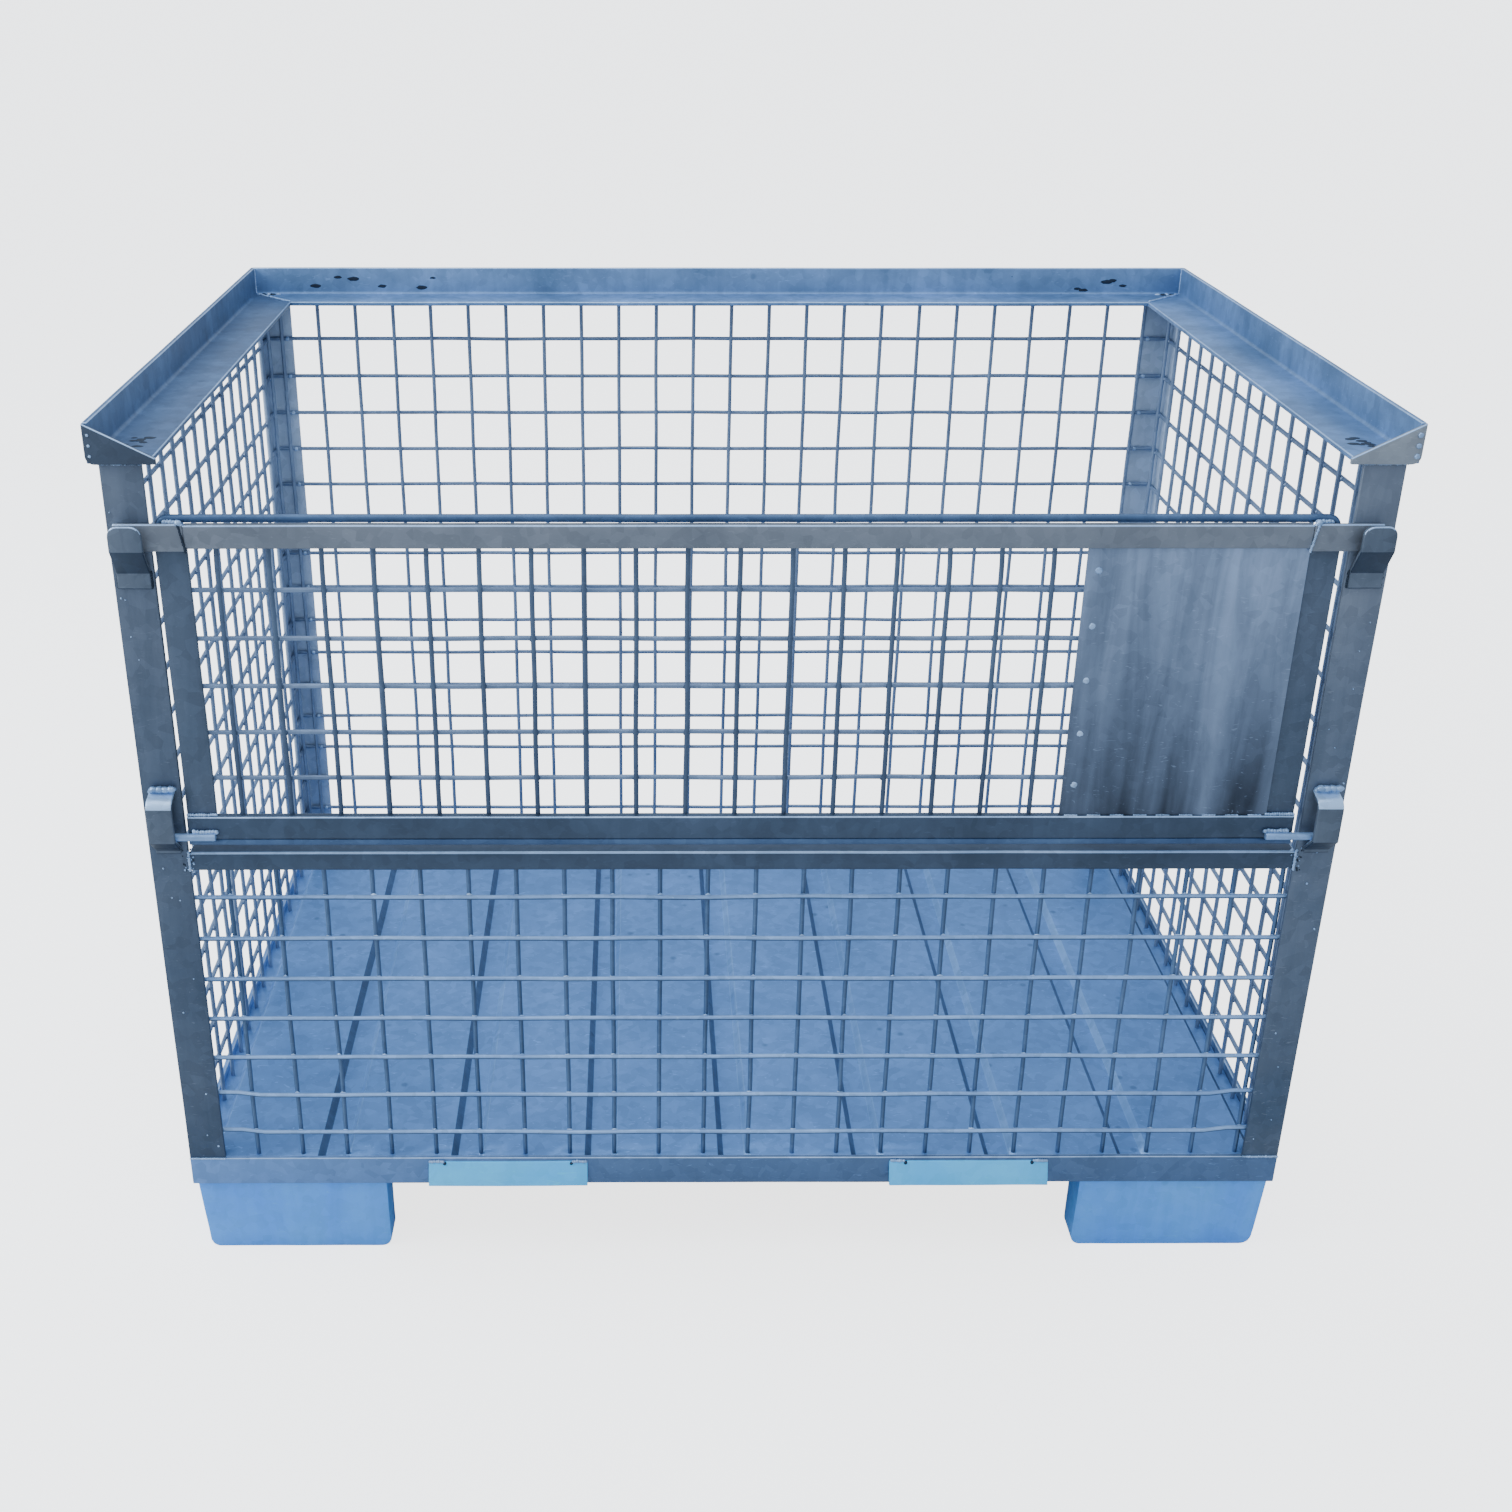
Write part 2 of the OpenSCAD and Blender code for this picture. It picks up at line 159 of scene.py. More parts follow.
def zinc_group():
    """Hot-dip zinc: clouds, crystal spangle, runs, bright streaks that are partly zinc flow lines and
    partly painted sheen, and grain, as masks from 0 to 1.
    """
    tree = bpy.data.node_groups.new("zinc_surface", "ShaderNodeTree")
    tree.interface.new_socket("Vector", in_out="INPUT", socket_type="NodeSocketVector")
    for name in ("Cloud", "Spangle", "Run", "Flow_and_sheen", "Grain", "Scratch", "Spot"):
        tree.interface.new_socket(name, in_out="OUTPUT", socket_type="NodeSocketFloat")
    s = Shader(tree)
    start = s.node("NodeGroupInput").outputs["Vector"]
    end = s.node("NodeGroupOutput")
    s.link(s.ramp(s.noise(start, 7.0, 5.0, 0.6, 0.4), 0.32, 0.68), end.inputs["Cloud"])
    cells = s.node("ShaderNodeTexVoronoi")
    s.link(start, cells.inputs["Vector"])
    cells.inputs["Scale"].default_value = 95.0
    parts = s.node("ShaderNodeSeparateColor")
    s.link(cells.outputs["Color"], parts.inputs[0])
    s.link(parts.outputs[0], end.inputs["Spangle"])
    runs = s.noise(s.stretch(start, 1.0, 1.0, 0.12), 42.0, 4.0, 0.6, 0.6)
    s.link(s.ramp(runs, 0.40, 0.66), end.inputs["Run"])
    # Leaning bright bands: zinc flow lines, and painted sheen where a finish uses them strongly.
    flow_and_sheen_noise = s.noise(s.stretch(start, 1.0, 1.0, 0.09, lean=-0.22), 15.0, 3.0, 0.62, 0.5)
    s.link(s.ramp(flow_and_sheen_noise, 0.42, 0.64), end.inputs["Flow_and_sheen"])
    s.link(s.noise(start, 420.0, 3.0, 0.6), end.inputs["Grain"])
    scratch = s.noise(s.stretch(start, 0.35, 1.0, 1.6), 120.0, 2.0, 0.5, 3.0)
    s.link(s.ramp(scratch, 0.66, 0.72), end.inputs["Scratch"])
    spots = s.node("ShaderNodeTexVoronoi")
    s.link(start, spots.inputs["Vector"])
    spots.inputs["Scale"].default_value = 21.0
    s.link(s.ramp(spots.outputs["Distance"], 0.05, 0.11, 1.0, 0.0), end.inputs["Spot"])
    return tree


ZINC = zinc_group()


def zinc(name, dark, pale, metal=0.5, rough=0.46, bump=0.25, cloud=1.0, run=0.25, flow_and_sheen=0.0, spangle=0.10,
         spot=0.0, scratch=0.25, fade=None):
    """A galvanised finish between two colours.
    fade = axis, start, end and share of a slow change along that axis towards the paler colour: painted
    light and shade."""
    made = bpy.data.materials.new("zinc_" + name)
    made.use_nodes = True
    made.node_tree.nodes.clear()
    s = Shader(made.node_tree)
    place = s.node("ShaderNodeTexCoord").outputs["Object"]
    look = s.node("ShaderNodeGroup")
    look.node_tree = ZINC
    s.link(place, look.inputs["Vector"])
    out = look.outputs
    shade = s.math("MULTIPLY", out["Cloud"], cloud)
    # Painted light and shade: a slow change towards the paler colour along one axis.
    if fade:
        axis, start, end, share = fade
        split = s.node("ShaderNodeSeparateXYZ")
        s.link(place, split.inputs[0])
        slope = s.ramp(split.outputs[axis], start, end, 0.0, share)
        shade = s.math("MULTIPLY_ADD", shade, 1 - share, slope)
    colour = s.mix(shade, dark, pale)
    tone = s.math("MULTIPLY_ADD", out["Spangle"], 2 * spangle, 1.0 - spangle)
    colour = s.mix(1.0, colour, tone, "MULTIPLY")
    # Bright streaks, partly zinc flow lines and partly painted sheen.
    colour = s.mix(s.math("MULTIPLY", out["Flow_and_sheen"], flow_and_sheen), colour, scaled(pale, 1.7))
    colour = s.mix(s.math("MULTIPLY", out["Run"], run), colour, scaled(dark, 0.62))
    colour = s.mix(s.math("MULTIPLY", out["Scratch"], scratch), colour, scaled(pale, 1.5))
    colour = s.mix(s.math("MULTIPLY", out["Spot"], spot), colour, scaled(dark, 0.3))
    height = s.math("MULTIPLY_ADD", out["Grain"], 0.35, s.math("MULTIPLY", out["Spangle"], 0.2))
    height = s.math("MULTIPLY_ADD", out["Run"], 0.5, height)
    raised = s.node("ShaderNodeBump")
    raised.inputs["Strength"].default_value = bump
    raised.inputs["Distance"].default_value = 0.0006
    s.link(height, raised.inputs["Height"])
    body = s.node("ShaderNodeBsdfPrincipled")
    s.link(colour, body.inputs["Base Color"])
    s.link(s.ramp(out["Cloud"], 0.0, 1.0, rough - 0.07, rough + 0.10), body.inputs["Roughness"])
    body.inputs["Metallic"].default_value = metal
    s.link(raised.outputs[0], body.inputs["Normal"])
    s.link(body.outputs[0], s.node("ShaderNodeOutputMaterial").inputs["Surface"])
    return made


BASE_TOP = low("post_front_left").z
RIM_LOW = low("rim_left").z
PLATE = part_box("label_plate")
WIDE = high("base_rail_front").x

# Each finish: darker colour, paler colour, and how strongly the surface shows each mark of the zinc
ZINC_LOOKS = {
    # Front posts: painted shade, darker towards the bottom; the right post's paler copy of the colour is
    # painted light.
    "post": (linear(52, 70, 92), linear(108, 118, 134), dict(run=0.30, fade=(2, BASE_TOP, RIM_LOW, 0.6))),
    "post_painted_lit": (linear(66, 84, 106), linear(126, 134, 148),
                  dict(run=0.25, fade=(2, BASE_TOP, RIM_LOW, 0.6))),
    # Rear posts: a pale colour that stands in for the light their shaded inner faces lack, painted light.
    "rear_post": (linear(160, 178, 202), linear(186, 204, 226), dict(run=0.20)),
    "rim": (linear(88, 120, 160), linear(128, 164, 214), dict(run=0.30, spot=0.3)),
    # Left rim: a darker copy of the rim colour, painted shade.
    "rim_painted_shade": (linear(66, 90, 124), linear(98, 126, 164), dict(run=0.30, spot=0.3)),
    "rail": (linear(112, 118, 128), linear(134, 140, 150), dict(run=0.10, spot=0.15)),
    "low_rail": (linear(56, 70, 88), linear(76, 92, 114), dict(run=0.20)),
    "side_bar": (linear(70, 84, 102), linear(92, 104, 122), dict(run=0.25)),
    # Base rails: painted light, paler towards the left end.
    "base": (linear(82, 106, 140), linear(116, 156, 212), dict(run=0.12, fade=(0, -0.05, -WIDE, 0.8))),
    # Feet: bright saturated blue in place of the floor light that their down-leaning faces reflect,
    # painted reflection.
    "foot": (linear(86, 162, 255), linear(102, 178, 255),
             dict(metal=0.2, rough=0.40, run=0.2, flow_and_sheen=0.12, spangle=0.05, spot=0.2)),
    # Fork guides: bright saturated blue, painted reflection of floor light.
    "guide": (linear(72, 192, 255), linear(88, 206, 255),
              dict(metal=0.1, rough=0.38, spangle=0.04, run=0.1, spot=0.2)),
    "floor": (linear(92, 134, 188), linear(108, 150, 206),
              dict(rough=0.44, run=0.15, scratch=0.5, spot=0.45)),
    # Groove walls: painted light on walls facing left, painted shade on walls facing right.
    "groove_lit": (linear(102, 146, 202), linear(128, 170, 220), dict(rough=0.40, run=0.1, scratch=0.4)),
    "groove_shaded": (linear(52, 80, 114), linear(76, 106, 144), dict(rough=0.46, run=0.3, spot=0.4)),
    # Label plate: painted shade, darker towards the bottom, and painted sheen in bright leaning bands.
    "plate": (linear(10, 20, 36), linear(148, 166, 194),
              dict(rough=0.36, run=0.35, flow_and_sheen=0.28, bump=0.4, fade=(2, PLATE[0].z, PLATE[1].z, 0.88))),
    "end_dark": (linear(56, 68, 84), linear(76, 86, 102), dict(run=0.2)),
    "end_pale": (linear(134, 140, 148), linear(158, 164, 172), dict(run=0.2)),
    "clip": (linear(78, 90, 106), linear(108, 118, 132), dict(run=0.25)),
    # Hooks and straps: a darker copy of the clip colour for faces turned down, painted shade.
    "clip_painted_shade": (linear(40, 52, 70), linear(56, 70, 88), dict(run=0.2)),
    "rod": (linear(56, 80, 114), linear(88, 114, 148), dict(rough=0.40, run=0.1)),
    "wire": (linear(104, 122, 150), linear(132, 152, 180), dict(rough=0.42, run=0.1)),
    # Gate wires: painted light, paler towards the top.
    "gate_wire": (linear(58, 74, 98), linear(96, 114, 138),
                  dict(rough=0.42, run=0.1, fade=(2, 0.56, 0.85, 0.6))),
    # Lower front panel: lit and shaded copies by face direction, painted light and shade.
    "front_wire": (linear(124, 158, 204), linear(156, 190, 232), dict(rough=0.40, run=0.1)),
    "front_upright": (linear(62, 84, 112), linear(84, 108, 140), dict(rough=0.42, run=0.1)),
    "upright_painted_lit_side": (linear(74, 100, 134), linear(94, 122, 158), dict(rough=0.42, run=0.1)),
    # Eased edges facing up: painted highlight.
    "edge": (linear(148, 180, 218), linear(184, 210, 242), dict(rough=0.36, run=0.05, bump=0.15)),
    # Hinge straps' faces turned up: a brighter painted highlight.
    "strap_painted_highlight": (linear(166, 200, 238), linear(202, 228, 255), dict(rough=0.34, run=0.05, bump=0.2)),
    "pin": (linear(128, 162, 206), linear(156, 188, 228), dict(rough=0.36)),
    "weld": (linear(128, 162, 204), linear(190, 216, 246), dict(rough=0.36, bump=0.7, spangle=0.2)),
    "dark_mark": (linear(28, 40, 56), linear(44, 58, 76), dict(rough=0.55, bump=0.7)),
}
MATERIAL = {name: zinc(name, dark, pale, **values) for name, (dark, pale, values) in ZINC_LOOKS.items()}


# ---------------------------------------------------------------- mesh helpers

def finish_piece(name, bm, looks, body, replaced=(), sharp=35):
    """Turns a mesh in the making into a piece that rides on a body."""
    bmesh.ops.recalc_face_normals(bm, faces=bm.faces)
    mesh = bpy.data.meshes.new(name)
    bm.to_mesh(mesh)
    bm.free()
    mesh.shade_smooth()
    mesh.set_sharp_from_angle(angle=math.radians(sharp))
    for look in looks:
        mesh.materials.append(MATERIAL[look])
    piece = bpy.data.objects.new(name, mesh)
    bpy.context.scene.collection.objects.link(piece)
    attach(piece, body)
    if replaced:
        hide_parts(*replaced)
    return piece


def merged_copy(node):
    bm = bmesh.new()
    bm.from_mesh(frame["nodes"][node].data)
    bmesh.ops.remove_doubles(bm, verts=bm.verts, dist=2e-6)
    return bm


def solid_of(node):
    """The CAD node's mesh with its doubled corners joined and its flat faces whole."""
    bm = merged_copy(node)
    bmesh.ops.dissolve_limit(bm, angle_limit=math.radians(1), verts=bm.verts, edges=bm.edges)
    return bm


def span(verts):
    """Lowest and highest corner of some vertices."""
    return [Vector([pick(v.co[k] for v in verts) for k in range(3)]) for pick in (min, max)]


def cut_along(bm, geom, k, start, end, step):
    """Cuts the geometry into lengths across one axis."""
    count = int((end - start) / step)
    for i in range(1, count + 1):
        spot, way = Vector((0, 0, 0)), Vector((0, 0, 0))
        spot[k] = start + (end - start) * i / (count + 1)
        way[k] = 1
        geom = bmesh.ops.bisect_plane(bm, geom=geom, plane_co=spot, plane_no=way)["geom"]


def cut_across(bm, step):
    """Cuts a long piece into lengths on every axis, so that it can be bent a little."""
    lows, highs = span(bm.verts)
    for k in range(3):
        cut_along(bm, bm.verts[:] + bm.edges[:] + bm.faces[:], k, lows[k], highs[k], step)


def ripple(bm, size, wave, seed=0.0):
    """Small unevenness from rolling, welding and knocks."""
    shift = Vector((seed, seed * 1.7, seed * 2.3))
    for v in bm.verts:
        v.co += noise.noise_vector(v.co / wave + shift) * size


CREASE = math.radians(28)


def corner_kind(edge):
    """How an edge turns: -1 for a hollow corner, 1 for an outer one, 0 for a flat or smooth one."""
    if len(edge.link_faces) != 2 or edge.calc_face_angle(0) < CREASE:
        return 0
    return 1 if edge.is_convex else -1


def stands(edge):
    """Whether an edge is upright."""
    return abs((edge.verts[0].co - edge.verts[1].co).normalized().z) > 0.9


def bevel(bm, edges, offset, segments):
    return bmesh.ops.bevel(bm, geom=edges, offset=offset, segments=segments, profile=0.5, affect="EDGES",
                           material=-1, clamp_overlap=True)["faces"]


def rolled(node, look, root=0.0, edge=0.0012, uneven=0.00035, wave=0.12, step=0.06, top_highlight_look="edge",
           corner=0.0, lit=None, under=None):
    """A CAD node's steel with filleted roots, eased edges that take a painted highlight where they face
    up, and slight unevenness.
    corner = radius of upright outer corners; lit = how far up a face must turn to take the painted
    highlight; under = look for faces turned down and to the front, painted shade."""
    bm = solid_of(node)
    hollow = [e for e in bm.edges if corner_kind(e) < 0]
    if root and hollow:
        bevel(bm, hollow, root, 4)
    if corner:
        bevel(bm, [e for e in bm.edges if corner_kind(e) > 0 and stands(e)], corner, 4)
    eased = bevel(bm, [e for e in bm.edges if corner_kind(e) > 0], edge, 2)
    bm.normal_update()
    # Painted highlight on eased edges and lit faces turned up; painted shade on faces turned down and to
    # the front.
    for face in eased:
        if face.is_valid and face.normal.z > 0.25:
            face.material_index = 1
    for face in bm.faces:
        if lit is not None and face.normal.z > lit:
            face.material_index = 1
        elif under and face.normal.z < -0.2 and face.normal.y < -0.2:
            face.material_index = 2
    cut_across(bm, step)
    bmesh.ops.triangulate(bm, faces=[f for f in bm.faces if len(f.verts) > 4])
    ripple(bm, uneven, wave, seed=sum(map(ord, node)) * 0.37)
    looks = (look, top_highlight_look or look, under or look)
    return finish_piece(node + "_steel", bm, looks, BODY[node], (node,))


def pour(small, bm, index=None):
    """Adds a finished small mesh to a bigger one, with one material if an index is given."""
    if index is not None:
        for face in small.faces:
            face.material_index = index
    mesh = bpy.data.meshes.new("part")
    small.to_mesh(mesh)
    small.free()
    bm.from_mesh(mesh)
    bpy.data.meshes.remove(mesh)


def blob(bm, centre, radius, seed, flat=(1, 1, 1), detail=2, index=0):
    """A drop of zinc, weld spatter or one ripple of a weld bead."""
    small = bmesh.new()
    bmesh.ops.create_icosphere(small, subdivisions=detail, radius=radius)
    for v in small.verts:
        v.co *= 1 + 0.30 * noise.noise(v.co / radius * 1.3 + Vector((seed, seed * 2, 1)))
        v.co = Vector(a * b for a, b in zip(v.co, flat)) + Vector(centre)
    pour(small, bm, index)


def bead(bm, start, end, radius, seed, index=0):
    """A weld bead from start to end: overlapping ripples of uneven size."""
    start, end = Vector(start), Vector(end)
    count = max(3, int((end - start).length / (radius * 1.1)))
    for i in range(count + 1):
        wobble = noise.noise_vector(Vector((i * 0.7, seed * 5.3, 0.4)))
        size = radius * (0.95 + 0.3 * noise.noise(Vector((i * 0.9, seed, 7))))
        blob(bm, start.lerp(end, i / count) + wobble * radius * 0.3, size, seed + i, index=index)


# ---------------------------------------------------------------- steel sections

# The right front post takes the paler copy of the post colour: painted light.
POST_LOOK = {"left": "post", "right": "post_painted_lit"}
END_LOOK = {"left": "end_dark", "right": "end_pale"}
for side_name, _ in SIDES:
    rolled("post_front_" + side_name, POST_LOOK[side_name], root=0.004)
    # Rear posts take a pale colour: painted light.
    rolled("post_rear_" + side_name, "rear_post", root=0.004)
    for end_name in ("front", "rear"):
        rolled(f"foot_{end_name}_{side_name}", "foot", root=0.002, edge=0.0015, uneven=0.0007, wave=0.05,
               step=0.03, top_highlight_look=None, corner=0.007)
    rolled("rim_end_plate_" + side_name, END_LOOK[side_name], edge=0.0010)
    # Hooks and straps: painted shade on faces turned down, and on the straps a painted highlight on faces
    # turned up.
    rolled("hook_" + side_name, "clip", uneven=0.0003, wave=0.03, step=0.02, under="clip_painted_shade")
    rolled("hinge_strap_" + side_name, "clip", uneven=0.0003, wave=0.03, step=0.02, top_highlight_look="strap_painted_highlight", lit=0.35,
           under="clip_painted_shade")
    rolled("gate_side_bar_" + side_name, "side_bar", edge=0.0010, uneven=0.0006, top_highlight_look=None)
    rolled("gate_lug_" + side_name, "rail", step=0.02)
    rolled("fork_guide_" + side_name, "guide", edge=0.0006, uneven=0.0006, wave=0.05, step=0.02, top_highlight_look=None)
    rolled("hinge_pin_" + side_name, "pin", edge=0.0010, uneven=0.0002, step=0.02, top_highlight_look=None)
    rolled("gate_side_rod_" + side_name, "rod", edge=0.0006, top_highlight_look=None)
for name in ("base_rail_front", "base_rail_rear", "base_rail_left", "base_rail_right"):
    rolled(name, "base", root=0.004)
# The left rim takes the darker copy of the rim colour: painted shade.
rolled("rim_left", "rim_painted_shade", root=0.004, edge=0.0010)
rolled("rim_right", "rim", root=0.004, edge=0.0010)
rolled("rim_rear", "rim", root=0.004, edge=0.0010)
rolled("gate_top_rod", "rod", edge=0.0006, top_highlight_look=None)
rolled("gate_bottom_rod", "rod", edge=0.0006, top_highlight_look=None)
rolled("gate_top_rail", "rail", root=0.003)
rolled("gate_bottom_rail", "low_rail", root=0.003)
rolled("panel_rail", "low_rail", root=0.003, edge=0.0018)
for name in ("bearer_front", "bearer_middle", "bearer_rear"):
    rolled(name, "base", root=0.002, top_highlight_look=None)


# ---------------------------------------------------------------- mesh panels

WIRE_SIDES = 12


def islands(bm):
    """The vertices of each separate solid."""
    left, found = set(bm.verts), []
    while left:
        todo = [left.pop()]
        island = list(todo)
        while todo:
            for edge in todo.pop().link_edges:
                for v in edge.verts:
                    if v in left:
                        left.remove(v)
                        todo.append(v)
                        island.append(v)
        found.append(island)
    return found


class Wire:
    """Middle, ends, run and radius of one straight wire."""

    def __init__(self, verts):
        self.low, self.high = span(verts)
        size = self.high - self.low
        self.run = max(range(3), key=lambda k: size[k])
        self.length = size[self.run]
        self.radius = min(size) / 2
        self.middle = (self.low + self.high) / 2

    def order(self):
        return (self.run, round(self.middle.x, 3), round(self.middle.z, 3), round(self.middle.y, 3))


def wires_of(node):
    bm = merged_copy(node)
    found = sorted((Wire(verts) for verts in islands(bm)), key=Wire.order)
    bm.free()
    return found


def round_bar(wire, step):
    """A wire's cylinder, cut into lengths."""
    bm = bmesh.new()
    bmesh.ops.create_cone(bm, cap_ends=True, segments=WIRE_SIDES, radius1=wire.radius, radius2=wire.radius,
                          depth=wire.length)
    turn = {0: Matrix.Rotation(math.pi / 2, 3, "Y"), 1: Matrix.Rotation(math.pi / 2, 3, "X"), 2: Matrix()}
    place = Matrix.Translation(wire.middle) @ turn[wire.run].to_4x4()
    bmesh.ops.transform(bm, matrix=place, verts=bm.verts)
    whole = bm.verts[:] + bm.edges[:] + bm.faces[:]
    cut_along(bm, whole, wire.run, wire.low[wire.run], wire.high[wire.run], step)
    return bm


def wire_panel(node, looks, flat, press=0.0004, bend=None, step=0.025, sway=0.0006, dots=0.0029):
    """A welded mesh: each wire wavers a little and bites into those that it crosses, with a nugget there.
    looks = long wires above and below, uprights left and right, nuggets; the below and right looks are for
    painted shade; flat = axis across the panel."""
    bm = bmesh.new()
    wires = wires_of(node)
    long_wires = [wire for wire in wires if wire.run != 2]
    uprights = [wire for wire in wires if wire.run == 2]
    middle = (long_wires[0].middle[flat] + uprights[0].middle[flat]) / 2
    for number, wire in enumerate(wires):
        run = wire.run
        lean = press if wire.middle[flat] < middle else -press
        small = round_bar(wire, step)
        for v in small.verts:
            t = (v.co[run] - wire.low[run]) / wire.length
            waver = noise.noise_vector(Vector((v.co[run] * 9, number * 3.1, len(node))))
            waver[run] = 0
            v.co += waver * sway * 2 * min(1.0, 5 * min(t, 1 - t))
            v.co[flat] += lean
            if bend:
                v.co += bend(wire, v.co)
        small.normal_update()
        # Painted light and shade by face direction: long wires' undersides and uprights' faces not turned
        # left take the shaded looks.
        for face in small.faces:
            shaded = face.normal.x > -0.2 if run == 2 else face.normal.z < -0.1
            face.material_index = (2 if run == 2 else 0) + shaded
        pour(small, bm)
    squash = [1.25, 1.25, 1.25]
    squash[flat] = 0.9
    for a in long_wires:
        for b in uprights:
            if b.low.z < a.middle.z < b.high.z:
                spot = Vector(b.middle)
                spot.z, spot[flat] = a.middle.z, middle
                if bend:
                    spot += bend(a, spot) + bend(b, spot)
                blob(bm, spot, dots, spot.x * 31 + spot.z * 17, squash, detail=1, index=4)
    return finish_piece(node + "_wires", bm, looks, BODY[node], (node,), sharp=50)


POST_IN = abs(high("post_front_left").x)
FRONT_LOW = low("mesh_lower_front").z
GATE_TOP = low("gate_top_rail").z


def lower_bend(wire, point):
    """The two lowest long wires kick up a little next to the posts."""
    if wire.run == 2 or wire.middle.z > FRONT_LOW + 0.1:
        return Vector((0, 0, 0))
    t = min(1.0, max(0.0, (abs(point.x) - POST_IN + 0.045) / 0.03))
    return Vector((0, 0, 0.004 * t * t * (3 - 2 * t)))


def gate_bend(wire, point):
    """The upright wires step back behind the top rail."""
    if wire.run != 2:
        return Vector((0, 0, 0))
    t = min(1.0, max(0.0, (point.z - GATE_TOP + 0.022) / 0.02))
    return Vector((0, 0.0035 * t * t * (3 - 2 * t), 0))


PLAIN = ("wire",) * 5
# Lower front panel: painted light on tops of long wires and left faces of uprights, painted shade on the
# rest.
LOWER = ("front_wire", "front_upright", "upright_painted_lit_side", "front_upright", "weld")
UPPER = ("wire", "wire", "gate_wire", "gate_wire", "gate_wire")
wire_panel("mesh_rear", PLAIN, 1)
wire_panel("mesh_left", PLAIN, 0)
wire_panel("mesh_right", PLAIN, 0)
wire_panel("mesh_lower_front", LOWER, 1, bend=lower_bend)
wire_panel("gate_mesh", UPPER, 1, bend=gate_bend, step=0.012)


# ---------------------------------------------------------------- sheets

FOLD_RADIUS = 0.0016
FLOOR_DENT = 0.0018
PLATE_BUCKLE = 0.0034
PLATE_SPOTS = 5


def floor_piece():
    """The grooved floor: one sheet with eased groove walls and shallow dents."""
    lo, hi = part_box("floor_sheet")
    bm = solid_of("floor_sheet")
    walls = [e for e in bm.edges if corner_kind(e) and abs(e.verts[0].co.y - e.verts[1].co.y) > 0.1]
    bevel(bm, walls, FOLD_RADIUS, 3)
    bm.normal_update()
    # Painted light on groove walls facing left, painted shade on those facing right.
    for face in bm.faces:
        if face.normal.z > 0.05 and abs(face.normal.x) > 0.25:
            face.material_index = 1 if face.normal.x < 0 else 2
    cut_across(bm, 0.03)
    bmesh.ops.triangulate(bm, faces=[f for f in bm.faces if len(f.verts) > 4])
    for v in bm.verts:
        inside = min(1.0, min(v.co.x - lo.x, hi.x - v.co.x, v.co.y - lo.y, hi.y - v.co.y) / 0.05)
        v.co.z += FLOOR_DENT * inside * noise.noise(Vector((v.co.x * 9, v.co.y * 5, 3)))
    looks = ("floor", "groove_lit", "groove_shaded")
    return finish_piece("floor_sheet_pressed", bm, looks, "root", ("floor_sheet",), sharp=50)


def plate_piece():
    """The label plate, a thin sheet that has buckled between its spot welds."""
    lo, hi = PLATE
    bm = solid_of("label_plate")
    cut_across(bm, 0.006)
    for v in bm.verts:
        x, z = (v.co.x - lo.x) / (hi.x - lo.x), (v.co.z - lo.z) / (hi.z - lo.z)
        held = min(1.0, 6 * min(x, 1 - x)) * min(1.0, 5 * min(z, 1 - z) + 0.25)
        wide_wave = noise.noise(Vector((x * 3.2 + 0.6 * z, z * 0.9, 5)))
        wave = wide_wave + 0.5 * noise.noise(Vector((x * 6, z * 3, 9)))
        v.co.y += PLATE_BUCKLE * held * wave
    for i in range(PLATE_SPOTS):
        spot = (lo.x + 0.012, lo.y + 0.0004, lo.z + (hi.z - lo.z) * (i + 0.6) / PLATE_SPOTS)
        blob(bm, spot, 0.0036, i, (1, 0.35, 1), index=1)
    body = BODY["label_plate"]
    return finish_piece("label_plate_sheet", bm, ("plate", "weld"), body, ("label_plate",), sharp=50)


floor_piece()
plate_piece()


# ---------------------------------------------------------------- welds

FACE = low("post_front_left").y
GATE_FACE = low("gate_bottom_rail").y
STEEL_T = 0.005
SEAM_Z = RIM_LOW + 0.0052
BRIGHT, DARK_MARK = 0, 1


def weld_piece(name, body, build):
    bm = bmesh.new()
    build(bm)
    return finish_piece(name, bm, ("weld", "dark_mark"), body, (), sharp=60)


def post_welds(bm, side_name, sign, seed):
    """Beads and spatter on one front post, where the base, panel rail and rim meet it."""
    lo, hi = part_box("post_front_" + side_name)
    inner = sign * min(abs(lo.x), abs(hi.x))
    base_y = FACE - 0.0003
    bead(bm, (lo.x + 0.001, base_y, BASE_TOP), (hi.x - 0.001, base_y, BASE_TOP), 0.0014, 11 + seed)
    bead(bm, (lo.x, FACE - 0.001, RIM_LOW), (hi.x, FACE - 0.001, RIM_LOW), 0.0015, 23 + seed)
    rail_lo, rail_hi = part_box("panel_rail")
    bead(bm, (inner, FACE, rail_lo.z), (inner, FACE, rail_hi.z), 0.0016, 17 + seed)
    spread = random.Random(40 + seed)
    for i in range(26):
        x = inner + sign * spread.uniform(-0.006, 0.007)
        spot = (x, FACE, rail_lo.z + spread.uniform(-0.002, 0.026))
        blob(bm, spot, spread.uniform(0.0006, 0.0012), i, index=i % 2)
    for i in range(16):
        spot = (spread.uniform(lo.x + 0.004, hi.x - 0.004), FACE, spread.uniform(lo.z, hi.z - 0.02))
        blob(bm, spot, spread.uniform(0.0006, 0.0013), i * 3)


def clip_welds(bm, side_name, sign, seed):
    """Heavy bead on top of the hinge strap, and thin ones down the hook's foot."""
    lo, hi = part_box("hinge_strap_" + side_name)
    bead(bm, (lo.x + 0.003, FACE - 0.003, hi.z), (hi.x - 0.003, FACE - 0.003, hi.z), 0.0036, 3 + seed)
    for i in range(4):
        blob(bm, (lo.x + 0.006 + 0.006 * i, FACE - 0.005, hi.z + 0.003), 0.0042, i + seed, (1.2, 1, 0.8))
    lo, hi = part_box("hook_" + side_name)
    for x in (lo.x, hi.x):
        bead(bm, (x, FACE - 0.001, lo.z + 0.001), (x, FACE - 0.001, lo.z + 0.016), 0.0016, 7 + seed, DARK_MARK)


